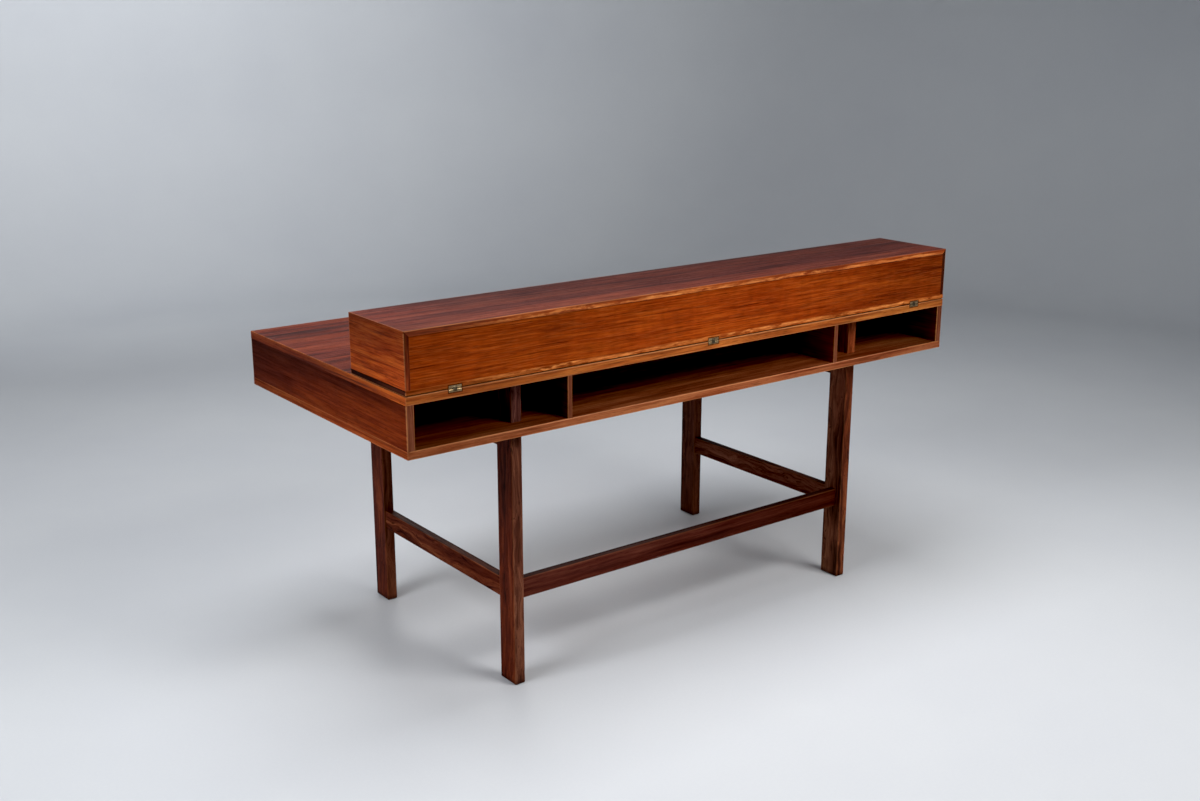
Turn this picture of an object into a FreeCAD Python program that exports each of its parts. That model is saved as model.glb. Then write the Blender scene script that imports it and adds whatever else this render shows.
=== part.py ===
import FreeCAD, Part
import math
import os

# Flip-top partners desk, in millimetres.
# The floor is z = 0 and +Z is up. X runs along the desk, the drawers open towards -Y, and the
# shelf and the hinges of the flip-top are on the +Y side. Left and right are the sitter's.

# Carcass
desk_width = 1630.0
desk_depth = 744.0
desk_height = 736.0
carcass_height = 132.0
board = 18.0
partition = 18.0
wall = 12.0
wall_groove = 5.0
shelf_depth = 220.0
divider = 12.0
divider_offset = 412.0
tongue_height = 4.0
tongue_stop = 10.0
panel_tongue = 6.0
board_arris = 0.8

# Leg frame
leg_span = 1070.0
leg_width = 27.0
leg_depth = 59.0
leg_setback = 47.0
leg_arris = 2.0
foot_bevel = 3.0
rail_thickness = 21.0
rail_height = 47.0
rail_arris = 1.2
stretcher_base = 199.5
tenon_thickness = 9.0
tenon_shoulder = 6.0
tenon_length = 20.0

# Flip-top box
flip_height = 133.0
flip_depth = 230.0
flip_board = 12.0
flip_tongue = 4.0
flip_divider_setback = 8.0
seam_gap = 1.0
seam_ease = 1.5

# Link hinges: two leaves, and a link that turns on a pin in each of them
hinge_margin = 115.0
hinge_width = 30.0
leaf_length = 42.0
leaf_thickness = 2.5
lug_web = 1.4
link_width = 10.0
link_radius = 2.3
link_side_gap = 0.2
link_end_gap = 0.3
pin_radius = 1.2
pin_depth = 2.5
pin_inset = 2.4
pin_end_gap = 0.5
pin_press_gap = 0.02
pin_running_gap = 0.06

# Drawers
drawer_count = 4
drawer_end_gap = 42.0
drawer_reveal = 1.5
front_thickness = 18.0
front_lap = 5.0
notch_width = 70.0
notch_depth = 15.0
side_thickness = 12.0
side_lift = 2.5
side_drop = 10.5
tail_count = 3
tail_pin_half = 2.5
tail_flare = 2.0
drawer_bottom = 5.0
bottom_lift = 8.0
bottom_groove = 6.0
back_thickness = 12.0
back_inset = 8.0
back_dado = 4.0
back_drop = 6.0
runner_height = 14.0
runner_bite = 5.0
runner_gap = 0.3
runner_side_gap = 0.5
runner_start = 24.0
stop_width = 30.0
stop_depth = 12.0
stop_height = 7.0
stop_offset = 100.0
stop_gap = 0.2

# Screws of the leg frame
frame_screw_shank = 2.2
frame_screw_head = 4.4
frame_screw_bite = 13.0
frame_screw_margin = 60.0
screw_gap = 0.05

# Planes and spans that several pieces share
half_width = desk_width / 2
rear = desk_depth / 2
front = -desk_depth / 2
carcass_base = desk_height - carcass_height
bay_floor = carcass_base + board
bay_ceiling = desk_height - board
wall_rear = rear - shelf_depth
wall_front = wall_rear - wall
leg_outer = leg_span / 2
leg_inner = leg_outer - leg_width
flip_base = desk_height + seam_gap
flip_floor = flip_base + flip_board
flip_crown = flip_base + flip_height
flip_ceiling = flip_crown - flip_board
flip_front = rear - flip_depth
seam_middle = desk_height + seam_gap / 2
bay_width = (desk_width - 2 * board - (drawer_count - 1) * partition) / drawer_count
touching = 1e-4
overcut = 1.0
UP = FreeCAD.Vector(0, 0, 1)


def block(x, y, z):
    """Box from its low and high value along each axis."""
    corner = FreeCAD.Vector(x[0], y[0], z[0])
    return Part.makeBox(x[1] - x[0], y[1] - y[0], z[1] - z[0], corner)


def centred(middle, width):
    return (middle - width / 2, middle + width / 2)


def prism(points, sweep):
    """Straight-sided outline swept along a vector."""
    outline = Part.makePolygon(points + points[:1])
    return Part.Face(outline).extrude(sweep)


def edges_on(shape, **planes):
    """Edges that lie in every given plane, such as z=0."""
    picked = []
    for edge in shape.Edges:
        corners = [vertex.Point for vertex in edge.Vertexes]
        if all(abs(getattr(p, axis) - at) < touching for p in corners for axis, at in planes.items()):
            picked.append(edge)
    return picked


def ease(shape, radius, *places):
    """Round the edges that lie in any of the given places."""
    edges = {edge.hashCode(): edge for place in places for edge in edges_on(shape, **place)}
    return shape.makeFillet(radius, list(edges.values()))


def bevel(shape, width, *places):
    """Break the sharp edges that lie in any of the given places."""
    edges = {edge.hashCode(): edge for place in places for edge in edges_on(shape, **place)}
    return shape.makeChamfer(width, list(edges.values()))


def mirrored(shape):
    return shape.mirror(FreeCAD.Vector(0, 0, 0), FreeCAD.Vector(1, 0, 0))


def above_seam(shape):
    """Copy of a lower hinge piece, turned over the middle of the seam."""
    return shape.mirror(FreeCAD.Vector(0, 0, seam_middle), UP)


def save(node, *shapes):
    solids = [solid for shape in shapes for solid in shape.Solids]
    whole = solids[0] if len(solids) == 1 else Part.makeCompound(solids)
    whole.exportStep(f"parts/{node}.step")


def tongued(panel, tongue):
    """Panel with the ends of a block that runs through it left standing as tongues."""
    return panel.fuse(tongue).removeSplitter()


# Leg frame: tenoned bars between the legs

def tenoned_bar(x, y, z, along):
    """Bar between its shoulders, and the straight block that its two tenons are the ends of."""
    spans = [x, y, z]
    across = 1 - along
    sides = [{"xyz"[across]: side, "z": level} for side in spans[across] for level in z]
    core = bevel(block(x, y, z), rail_arris, *sides)
    tenon = list(spans)
    tenon[along] = (spans[along][0] - tenon_length, spans[along][1] + tenon_length)
    tenon[across] = centred(sum(spans[across]) / 2, tenon_thickness)
    tenon[2] = (z[0] + tenon_shoulder, z[1] - tenon_shoulder)
    tenons = block(*tenon)
    return core.fuse(tenons).removeSplitter(), tenons


def leg(y, top, tenons):
    """Right-hand leg, with a mortise for each tenon that enters it."""
    post = bevel(block((leg_inner, leg_outer), y, (0, top)), foot_bevel, {"z": 0})
    corners = [{"x": x, "y": side} for x in (leg_inner, leg_outer) for side in y]
    post = ease(post, leg_arris, *corners)
    return post.cut(tenons)


back_leg_y = (rear - leg_setback - leg_depth, rear - leg_setback)
front_leg_y = (front + leg_setback, front + leg_setback + leg_depth)
rail_x = centred((leg_inner + leg_outer) / 2, rail_thickness)
rail_y = (front_leg_y[1], back_leg_y[0])
rail_z = (carcass_base - rail_height, carcass_base)
stretcher_z = (stretcher_base, stretcher_base + rail_height)

top_rail, top_tenons = tenoned_bar(rail_x, rail_y, rail_z, along=1)
side_stretcher, side_tenons = tenoned_bar(rail_x, rail_y, stretcher_z, along=1)
long_stretcher, long_tenons = tenoned_bar(
    (-leg_inner, leg_inner), centred(sum(back_leg_y) / 2, rail_thickness), stretcher_z, along=0)
back_leg = leg(back_leg_y, bay_ceiling, [top_tenons, side_tenons, long_tenons])
front_leg = leg(front_leg_y, carcass_base, [top_tenons, side_tenons])

# Screws up through each top rail into the bottom board, flush with the rail's underside
frame_screw_y = (rail_y[0] + frame_screw_margin, rail_y[1] - frame_screw_margin)


def frame_screw(y, gap=0.0):
    """Countersunk screw that points up. A gap makes its hole."""
    length = rail_height + frame_screw_bite + gap
    head, shank = frame_screw_head + gap, frame_screw_shank + gap
    outline = [(0, 0), (head, 0), (shank, head - shank), (shank, length), (0, length)]
    points = [FreeCAD.Vector(sum(rail_x) / 2 + radius, y, rail_z[0] + rise) for radius, rise in outline]
    return Part.Face(Part.makePolygon(points + points[:1])).revolve(points[0], UP, 360)


frame_screws = [frame_screw(y) for y in frame_screw_y]
frame_holes = [frame_screw(y, screw_gap) for y in frame_screw_y]
top_rail = top_rail.cut(frame_holes)

# Carcass uprights. Their tongues stop short of the edges that show.
tongue_z = (bay_floor - tongue_height, bay_ceiling + tongue_height)
bay_z = (bay_floor, bay_ceiling)
side_panel_x = (half_width - board, half_width)
side_panel = block(side_panel_x, (front, rear), bay_z)
side_panel = bevel(side_panel, board_arris, *[{"x": x, "y": y} for x in side_panel_x for y in (front, rear)])
side_tongue = block(
    centred(sum(side_panel_x) / 2, panel_tongue), (front + tongue_stop, rear - tongue_stop), tongue_z)
side_panel = tongued(side_panel, side_tongue)

partitions = []
partition_tongues = []
for number in range(1, drawer_count):
    middle = -half_width + board + number * (bay_width + partition) - partition / 2
    x = centred(middle, partition)
    upright = block(x, (front, wall_front), bay_z)
    upright = bevel(upright, board_arris, *[{"x": side, "y": front} for side in x])
    tongue = block(centred(middle, panel_tongue), (front + tongue_stop, wall_front), tongue_z)
    partitions.append(tongued(upright, tongue))
    partition_tongues.append(tongue)

shelf_wall_z = (bay_floor - wall_groove, bay_ceiling + wall_groove)
shelf_wall = block((-half_width + board, half_width - board), (wall_front, wall_rear), shelf_wall_z)

divider_x = centred(divider_offset, divider)
shelf_divider = block(divider_x, (wall_rear, rear), bay_z)
shelf_divider = bevel(shelf_divider, board_arris, *[{"x": side, "y": rear} for side in divider_x])
divider_tongue = block(centred(divider_offset, panel_tongue), (wall_rear, rear - tongue_stop), tongue_z)
shelf_divider = tongued(shelf_divider, divider_tongue)

housings = [shelf_wall, side_tongue, mirrored(side_tongue), divider_tongue, mirrored(divider_tongue)]
housings += partition_tongues

# Link hinges, modelled on the lower side of the seam and turned over for the upper side
hinge_places = (hinge_margin - half_width, 0.0, half_width - hinge_margin)
pin_y = rear - pin_inset
pin_z = desk_height - pin_depth
lug_height = pin_depth + link_radius + link_end_gap + lug_web
lug_reach = pin_inset + link_radius + link_end_gap + lug_web


def leaf_outline(x):
    """Profile of a leaf: a plate let into the face, and a lug at the edge, rounded about its pin."""
    def at(y, z):
        return FreeCAD.Vector(x, rear + y, desk_height + z)
    bulge = pin_inset * (1 - math.sqrt(0.5))
    corners = [
        at(0, -pin_inset), at(0, -lug_height), at(-lug_reach, -lug_height), at(-lug_reach, -leaf_thickness),
        at(-leaf_length, -leaf_thickness), at(-leaf_length, 0), at(-pin_inset, 0)]
    edges = [Part.makeLine(a, b) for a, b in zip(corners, corners[1:])]
    edges.append(Part.Arc(corners[-1], at(-bulge, -bulge), corners[0]).toShape())
    return Part.Face(Part.Wire(edges))


def hinge_pin(x, radius, length):
    start = FreeCAD.Vector(x - length / 2, pin_y, pin_z)
    return Part.makeCylinder(radius, length, start, FreeCAD.Vector(1, 0, 0))


def hinge_leaf(x):
    blank = leaf_outline(x - hinge_width / 2).extrude(FreeCAD.Vector(hinge_width, 0, 0))
    slot = block(
        centred(x, link_width + 2 * link_side_gap),
        (pin_y - link_radius - link_end_gap, rear + overcut),
        (pin_z - link_radius - link_end_gap, desk_height + overcut))
    hole = hinge_pin(x, pin_radius + pin_press_gap, hinge_width + 2 * overcut)
    return blank.cut([slot, hole])


def leaf_recess(x):
    """Recess for a leaf in its board, with straight corners."""
    wide = centred(x, hinge_width)
    plate = block(wide, (rear - leaf_length, rear), (desk_height - leaf_thickness, desk_height))
    lug = block(wide, (rear - lug_reach, rear), (desk_height - lug_height, desk_height))
    return plate.fuse(lug)


def hinge_link(x):
    """Straight-sided link with round ends about the two pins."""
    upper_z = 2 * seam_middle - pin_z
    def at(y, z):
        return FreeCAD.Vector(x - link_width / 2, pin_y + y, z)
    sides = [Part.makeLine(at(-link_radius, pin_z), at(-link_radius, upper_z)),
             Part.makeLine(at(link_radius, upper_z), at(link_radius, pin_z))]
    crown = Part.Arc(at(-link_radius, upper_z), at(0, upper_z + link_radius), at(link_radius, upper_z))
    heel = Part.Arc(at(link_radius, pin_z), at(0, pin_z - link_radius), at(-link_radius, pin_z))
    outline = Part.Wire([sides[0], crown.toShape(), sides[1], heel.toShape()])
    bar = Part.Face(outline).extrude(FreeCAD.Vector(link_width, 0, 0))
    bore = hinge_pin(x, pin_radius + pin_running_gap, link_width + 2 * overcut)
    return bar.cut([bore, above_seam(bore)])


hinge_leaves = [hinge_leaf(x) for x in hinge_places]
hinge_pins = [hinge_pin(x, pin_radius, hinge_width - 2 * pin_end_gap) for x in hinge_places]
hinge_links = [hinge_link(x) for x in hinge_places]
recesses = [leaf_recess(x) for x in hinge_places]


def seam_board(blank, near, level):
    """Board on one side of the seam: rounded along the hinges and bevelled on its other three edges."""
    ends = [{"x": side, "z": level} for side in (-half_width, half_width)]
    blank = bevel(blank, board_arris, {"y": near, "z": level}, *ends)
    return ease(blank, seam_ease, {"y": rear, "z": level})


# Desktop and bottom board, cut for everything that is let into them
board_x = (-half_width, half_width)
board_y = (front, rear)
desktop = seam_board(block(board_x, board_y, (bay_ceiling, desk_height)), front, desk_height)
desktop = desktop.cut(housings + recesses)
bottom_board = block(board_x, board_y, (carcass_base, bay_floor))
bottom_board = bevel(bottom_board, board_arris, {"z": carcass_base})
leg_hole = block((leg_inner, leg_outer), back_leg_y, (carcass_base, bay_floor))
bottom_board = bottom_board.cut(
    housings + frame_holes + [mirrored(hole) for hole in frame_holes] + [leg_hole, mirrored(leg_hole)])

# Flip-top box: mitred ends and cover on a full underside, open towards the sitter
flip_y = (flip_front, rear)
inner_end = half_width - flip_board


def across_flip(points):
    """Outline in X and Z swept over the depth of the box."""
    outline = [FreeCAD.Vector(x, flip_front, z) for x, z in points]
    return prism(outline, FreeCAD.Vector(0, flip_depth, 0))


flip_tongue_x = centred(half_width - flip_board / 2, flip_tongue)
flip_tongue_y = (flip_front + tongue_stop, rear - tongue_stop)
end_tongue = block(flip_tongue_x, flip_tongue_y, (flip_floor - tongue_height, flip_floor + tongue_height))

flip_bottom = seam_board(block(board_x, flip_y, (flip_base, flip_floor)), flip_front, flip_base)
flip_bottom = flip_bottom.cut([end_tongue, mirrored(end_tongue)] + [above_seam(shape) for shape in recesses])
flip_cover = across_flip(
    [(-half_width, flip_crown), (half_width, flip_crown),
     (inner_end, flip_ceiling), (-inner_end, flip_ceiling)])
flip_cover = bevel(flip_cover, board_arris, {"y": flip_front, "z": flip_crown}, {"y": rear, "z": flip_crown})
flip_end = across_flip(
    [(half_width, flip_floor), (half_width, flip_crown),
     (inner_end, flip_ceiling), (inner_end, flip_floor)])
flip_end = bevel(flip_end, board_arris, {"x": half_width, "y": flip_front}, {"x": half_width, "y": rear})
flip_end = tongued(flip_end, end_tongue)
flip_back = block((-inner_end, inner_end), (rear - flip_board, rear), (flip_floor, flip_ceiling))
flip_divider_y = (flip_front + flip_divider_setback, rear - flip_board)
flip_divider = block(divider_x, flip_divider_y, (flip_floor, flip_ceiling))
flip_divider = bevel(flip_divider, board_arris, *[{"x": side, "y": flip_divider_y[0]} for side in divider_x])

# Drawers: half-blind dovetailed boxes that hang on runners in grooves of their sides
front_z = (bay_floor + drawer_reveal, bay_ceiling - drawer_reveal)
side_z = (front_z[0] + side_lift, front_z[1] - side_drop)
side_y = (front + front_lap, wall_front - drawer_end_gap)
bottom_z = (side_z[0] + bottom_lift, side_z[0] + bottom_lift + drawer_bottom)
back_y = (side_y[1] - back_inset - back_thickness, side_y[1] - back_inset)
runner_z = centred(sum(side_z) / 2, runner_height)
runner_y = (front + runner_start, wall_front)
groove_z = (runner_z[0] - runner_gap, runner_z[1] + runner_gap)


def tail_gaps(x):
    """Wedges between the tails at the end of a drawer side. Tails are widest at their tips."""
    pitch = (side_z[1] - side_z[0]) / tail_count
    wedges = []
    for number in range(tail_count + 1):
        middle = side_z[0] + number * pitch
        points = []
        for y, half in ((side_y[0], tail_pin_half), (front + front_thickness, tail_pin_half + tail_flare)):
            points.append((y, middle - half))
            points.append((y, middle + half))
        order = (points[0], points[1], points[3], points[2])
        outline = [FreeCAD.Vector(x[0], y, z) for y, z in order]
        wedges.append(prism(outline, FreeCAD.Vector(x[1] - x[0], 0, 0)))
    return wedges


def drawer_side(x, outer, bottom, back):
    """Side with tails, a runner groove in its outer face, and seats for the bottom and the back."""
    inward = 1 if outer == x[0] else -1
    groove_x = sorted((outer, outer + inward * (runner_bite + runner_side_gap)))
    groove = block(groove_x, (runner_y[0] - runner_gap, side_y[1]), groove_z)
    bottom_slot = block(x, (front + front_thickness, side_y[1]), bottom_z)
    seat = bottom.common(bottom_slot)
    tail_slot = block((seat.BoundBox.XMin, seat.BoundBox.XMax), (back_y[1], side_y[1]), bottom_z)
    return block(x, side_y, side_z).cut(tail_gaps(x) + [groove, bottom, tail_slot, back])


def finger_notch(middle):
    """Round notch in the top edge of a drawer front."""
    radius = (notch_width ** 2 / 4 + notch_depth ** 2) / (2 * notch_depth)
    centre = FreeCAD.Vector(middle, front - overcut, front_z[1] - notch_depth + radius)
    return Part.makeCylinder(radius, front_thickness + 2 * overcut, centre, FreeCAD.Vector(0, 1, 0))


def make_drawer(bay):
    """Pieces of the drawer in a bay that starts at x = bay."""
    width = (bay + drawer_reveal, bay + bay_width - drawer_reveal)
    left = (width[0], width[0] + side_thickness)
    right = (width[1] - side_thickness, width[1])
    bottom_x = (left[1] - bottom_groove, right[0] + bottom_groove)
    bottom = block(bottom_x, (front + front_thickness - bottom_groove, back_y[1]), bottom_z)
    back_z = (bottom_z[1], side_z[1] - back_drop)
    back = block((left[1] - back_dado, right[0] + back_dado), back_y, back_z)
    left_side = drawer_side(left, left[0], bottom, back)
    right_side = drawer_side(right, right[1], bottom, back)
    panel = bevel(block(width, (front, front + front_thickness), front_z), board_arris, {"y": front})
    panel = panel.cut([left_side, right_side, bottom, finger_notch(sum(width) / 2)])
    return {"front": panel, "side_left": left_side, "side_right": right_side, "back": back, "bottom": bottom}


def make_runners(bay):
    reach = drawer_reveal + runner_bite
    left = block((bay, bay + reach), runner_y, runner_z)
    right = block((bay + bay_width - reach, bay + bay_width), runner_y, runner_z)
    return [left, right]


def make_stops(bay):
    y = (front + front_thickness + stop_gap, front + front_thickness + stop_gap + stop_depth)
    middle = bay + bay_width / 2
    z = (bay_floor, bay_floor + stop_height)
    return [block(centred(middle + side * stop_offset, stop_width), y, z) for side in (-1, 1)]


bays = [-half_width + board + number * (bay_width + partition) for number in range(drawer_count)]

# One file for each node
os.makedirs("parts", exist_ok=True)
save("desktop", desktop)
save("bottom_board", bottom_board)
save("side_panel_left", mirrored(side_panel))
save("side_panel_right", side_panel)
save("shelf_wall", shelf_wall)
save("shelf_divider_left", mirrored(shelf_divider))
save("shelf_divider_right", shelf_divider)
for number, upright in enumerate(partitions, 1):
    save(f"drawer_partition_{number}", upright)
save("drawer_runners", *[runner for bay in bays for runner in make_runners(bay)])
save("drawer_stops", *[stop for bay in bays for stop in make_stops(bay)])
save("leg_back_left", mirrored(back_leg))
save("leg_back_right", back_leg)
save("leg_front_left", mirrored(front_leg))
save("leg_front_right", front_leg)
save("top_rail_left", mirrored(top_rail))
save("top_rail_right", top_rail)
save("side_stretcher_left", mirrored(side_stretcher))
save("side_stretcher_right", side_stretcher)
save("long_stretcher", long_stretcher)
save("frame_screws", *frame_screws, *[mirrored(shape) for shape in frame_screws])
save("hinge_leaves_lower", *hinge_leaves)
save("hinge_pins_lower", *hinge_pins)
save("hinge_links", *hinge_links)
save("hinge_leaves_upper", *[above_seam(shape) for shape in hinge_leaves])
save("hinge_pins_upper", *[above_seam(shape) for shape in hinge_pins])
save("flip_bottom", flip_bottom)
save("flip_cover", flip_cover)
save("flip_end_left", mirrored(flip_end))
save("flip_end_right", flip_end)
save("flip_back", flip_back)
save("flip_divider_left", mirrored(flip_divider))
save("flip_divider_right", flip_divider)
for number, bay in enumerate(bays, 1):
    for piece, shape in make_drawer(bay).items():
        save(f"drawer_{number}_{piece}", shape)
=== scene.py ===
"""Flip-top partners desk: finishes, hinge screws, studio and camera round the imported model, in metres."""
import math
from dataclasses import dataclass, replace

import bmesh
import bpy
from mathutils import Matrix, Vector


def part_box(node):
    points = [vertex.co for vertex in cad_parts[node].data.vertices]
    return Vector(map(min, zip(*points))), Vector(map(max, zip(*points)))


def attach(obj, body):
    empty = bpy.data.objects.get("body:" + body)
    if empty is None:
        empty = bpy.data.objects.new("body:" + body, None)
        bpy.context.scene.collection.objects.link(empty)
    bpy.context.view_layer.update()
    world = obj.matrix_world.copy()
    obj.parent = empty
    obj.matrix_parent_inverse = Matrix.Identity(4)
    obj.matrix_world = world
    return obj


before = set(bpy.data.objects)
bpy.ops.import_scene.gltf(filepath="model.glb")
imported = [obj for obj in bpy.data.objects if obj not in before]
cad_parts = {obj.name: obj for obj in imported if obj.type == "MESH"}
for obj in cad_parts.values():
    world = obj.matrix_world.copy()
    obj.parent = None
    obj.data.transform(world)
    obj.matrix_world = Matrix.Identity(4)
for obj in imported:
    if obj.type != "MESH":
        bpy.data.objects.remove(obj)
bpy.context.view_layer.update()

# Camera at the photograph's viewing angle: angles in degrees, lens and sensor in millimetres
CAMERA_PLACE = (2.1107, 2.7131, 1.4761)
CAMERA_TURN = 142.76
CAMERA_TILT = 74.28
CAMERA_ROLL = 0.08
LENS = 41.65
SENSOR = 36.0

# Studio: a round cove, with its floor at the feet of the desk
COVE_RADIUS = 5.2
COVE_SWEEP = 1.1
COVE_HEIGHT = 4.2
COVE_TURNS = 96
COVE_STEPS = 12

# Hinges, and their screws: raised countersunk heads with a straight slot
HINGE_WIDTH = 0.030
HINGE_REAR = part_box("desktop")[1].y
SCREW_MARGINS = (0.0165, 0.0335)
SCREW_RADIUS = 0.0040
SCREW_SLOT = 0.0011
SCREW_RISE = 0.00028
SCREW_FLOOR = 0.00005
SCREW_SINK = 0.0005
SCREW_STEPS = 14
SLOT_TURNS = (0.35, 1.20, -0.60, 0.90, -0.25, 1.45)

# A screw head's rings above its rim, as shares of its rise and of its radius
SCREW_DOME = ((0.65, 0.97), (1.0, 0.82))

DRAWERS = 4


@dataclass(frozen=True)
class Tone:
    """One sort of rosewood: linear colours from its dark lines to its light ground."""

    dark: tuple
    middle: tuple
    light: tuple


@dataclass(frozen=True)
class Figure:
    """How a board's grain shows.

    Bands, ripples and lines are counted per metre across the grain. Dash is how often ripples break.
    Sway and curl are how far the grain wanders, in metres. Rough and gloss set the sheen.
    The rest are strengths.
    """

    band: float = 26.0
    ripple: float = 140.0
    line: float = 480.0
    band_share: float = 0.38
    contrast: float = 0.75
    dark_lines: float = 0.40
    ink: float = 0.30
    sway: float = 0.0025
    curl: float = 0.0008
    cloud: float = 0.18
    dash: float = 6.0
    fleck: float = 0.0
    shimmer: float = 0.0
    # Strength of the arris abrasion and painted highlight
    wear_and_highlight: float = 0.30
    rough: float = 0.48
    gloss: float = 0.06


@dataclass(frozen=True)
class Board:
    """A rosewood board: its axes along, across and through the grain, its tones and its figure."""

    grain: str
    face: Tone
    edge: Tone
    figure: Figure


@dataclass(frozen=True)
class SideLightAndShadeTones:
    """Tones of the pieces that differ between the two sides of the desk. The differences are painted light
    and shade: lighter tones stand in for light, darker ones for shade.
    """

    rail: Tone
    divider: Tone
    post: Tone
    post_edge: Tone
    leg: Tone
    mitre: Tone


@dataclass(frozen=True)
class Noise:
    """A noise: its scale per metre along three axes, its layers of detail and how rough they are."""

    scale: tuple
    detail: float = 2.0
    roughness: float = 0.55


@dataclass(frozen=True)
class Fade:
    """A tint that changes along an axis, from one place to another."""

    axis: str
    start: float
    end: float
    first: tuple
    last: tuple


@dataclass(frozen=True)
class Sapwood:
    """A pale stripe in a rear edge: where along X it starts and is whole, its lift and its half width."""

    start: float
    whole: float
    lift: float
    reach: float


@dataclass(frozen=True)
class Softbox:
    """A rectangular light that faces a point. Its power is in watts, its spread in degrees."""

    place: tuple
    aim: tuple
    width: float
    height: float
    power: float
    spread: float
    colour: tuple


PURPLE = Tone((0.034, 0.006, 0.005), (0.122, 0.020, 0.011), (0.208, 0.040, 0.017))
CRIMSON = Tone((0.034, 0.006, 0.004), (0.126, 0.019, 0.008), (0.214, 0.037, 0.012))
ORANGE = Tone((0.100, 0.010, 0.001), (0.250, 0.035, 0.003), (0.390, 0.074, 0.007))
BROWN = Tone((0.080, 0.008, 0.001), (0.242, 0.031, 0.003), (0.380, 0.072, 0.008))
UMBER = Tone((0.024, 0.003, 0.001), (0.078, 0.010, 0.003), (0.140, 0.023, 0.005))
REDDISH = Tone((0.050, 0.010, 0.004), (0.145, 0.031, 0.010), (0.230, 0.064, 0.022))
LIPPING = Tone((0.100, 0.015, 0.003), (0.265, 0.052, 0.010), (0.385, 0.100, 0.022))
RUSSET = Tone((0.055, 0.014, 0.006), (0.155, 0.044, 0.021), (0.250, 0.088, 0.045))
HEART = Tone((0.014, 0.003, 0.002), (0.086, 0.012, 0.004), (0.180, 0.033, 0.009))
MAROON = Tone((0.018, 0.004, 0.003), (0.062, 0.011, 0.006), (0.108, 0.023, 0.012))
DUSKY = Tone((0.014, 0.004, 0.002), (0.072, 0.018, 0.009), (0.158, 0.046, 0.022))
WALNUT = Tone((0.016, 0.005, 0.003), (0.084, 0.024, 0.013), (0.185, 0.062, 0.033))
TAWNY = Tone((0.022, 0.008, 0.004), (0.112, 0.034, 0.018), (0.245, 0.087, 0.044))
EBONY = Tone((0.008, 0.002, 0.001), (0.026, 0.004, 0.002), (0.050, 0.009, 0.003))
CHESTNUT = Tone((0.022, 0.005, 0.002), (0.128, 0.030, 0.011), (0.262, 0.074, 0.026))

STRAIGHT = Figure(ripple=290.0, dash=9.0, contrast=0.70, fleck=0.22, shimmer=0.09, wear_and_highlight=0.0)
FRONTED = replace(STRAIGHT, wear_and_highlight=0.30)
PLAIN = replace(STRAIGHT, fleck=0.0)
LINED = Figure(
    ripple=190.0, line=420.0, dash=12.0, band_share=0.30, contrast=0.80, dark_lines=0.50,
    cloud=0.14, fleck=0.10, wear_and_highlight=0.45)
BANDED = Figure(
    band=32.0, band_share=0.56, ink=0.50, sway=0.005, contrast=1.1, shimmer=0.05, wear_and_highlight=0.60, gloss=0.10)
COVERED = replace(BANDED, gloss=0.14)
UNDER = replace(BANDED, wear_and_highlight=0.50, gloss=0.02)
CALM = Figure(
    band=42.0, band_share=0.60, ink=0.50, sway=0.006, curl=0.002, contrast=0.7, wear_and_highlight=0.12, gloss=0.05)
CURLED = replace(CALM, ink=0.85, sway=0.014, curl=0.008, contrast=1.0)
DULL = replace(CALM, gloss=0.008)
WAVY = replace(DULL, ink=0.80, sway=0.012, curl=0.010, contrast=0.90)
RUBBED = Figure(contrast=0.65, dark_lines=0.32, wear_and_highlight=0.70, gloss=0.03)
HANDLED = replace(RUBBED, wear_and_highlight=0.26)
TRODDEN = Figure(ripple=90.0, contrast=1.0, ink=0.45, cloud=0.24, wear_and_highlight=0.80, gloss=0.03)

# Painted light and shade: each side's pieces get tones for how the light falls on them
SIDE_LIGHT_AND_SHADE_TONES = {
    "left": SideLightAndShadeTones(
        rail=CHESTNUT, divider=UMBER, post=TAWNY, post_edge=CHESTNUT, leg=DUSKY, mitre=EBONY),
    "right": SideLightAndShadeTones(
        rail=HEART, divider=EBONY, post=HEART, post_edge=WALNUT, leg=HEART, mitre=HEART),
}


def boards():
    """Every rosewood node with its board. Its place in the list is the seed of its figure."""
    listed = {
        "desktop": Board("XYZ", CRIMSON, LIPPING, BANDED),
        "bottom_board": Board("XYZ", REDDISH, LIPPING, TRODDEN),
        "shelf_wall": Board("XZY", UMBER, UMBER, PLAIN),
        "long_stretcher": Board("XZY", MAROON, MAROON, DULL),
        "flip_bottom": Board("XYZ", PURPLE, LIPPING, UNDER),
        "flip_cover": Board("XYZ", PURPLE, LIPPING, COVERED),
        "flip_back": Board("XZY", ORANGE, ORANGE, STRAIGHT),
    }
    for side, side_shading in SIDE_LIGHT_AND_SHADE_TONES.items():
        listed["side_panel_" + side] = Board("YZX", UMBER, RUSSET, RUBBED)
        listed["shelf_divider_" + side] = Board("YZX", side_shading.divider, RUSSET, HANDLED)
        listed["leg_back_" + side] = Board("ZYX", side_shading.post, side_shading.post_edge, CURLED)
        listed["leg_front_" + side] = Board("ZYX", side_shading.leg, DUSKY, CURLED)
        listed["top_rail_" + side] = Board("YZX", side_shading.rail, side_shading.rail, CALM)
        listed["side_stretcher_" + side] = Board("YZX", side_shading.rail, side_shading.rail, WAVY)
        listed["flip_end_" + side] = Board("YZX", BROWN, side_shading.mitre, LINED)
        listed["flip_divider_" + side] = Board("YZX", UMBER, RUSSET, RUBBED)
    for number in range(1, DRAWERS):
        listed[f"drawer_partition_{number}"] = Board("YZX", UMBER, REDDISH, RUBBED)
    for number in range(1, DRAWERS + 1):
        listed[f"drawer_{number}_front"] = Board("XZY", BROWN, LIPPING, FRONTED)
    return listed


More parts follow.
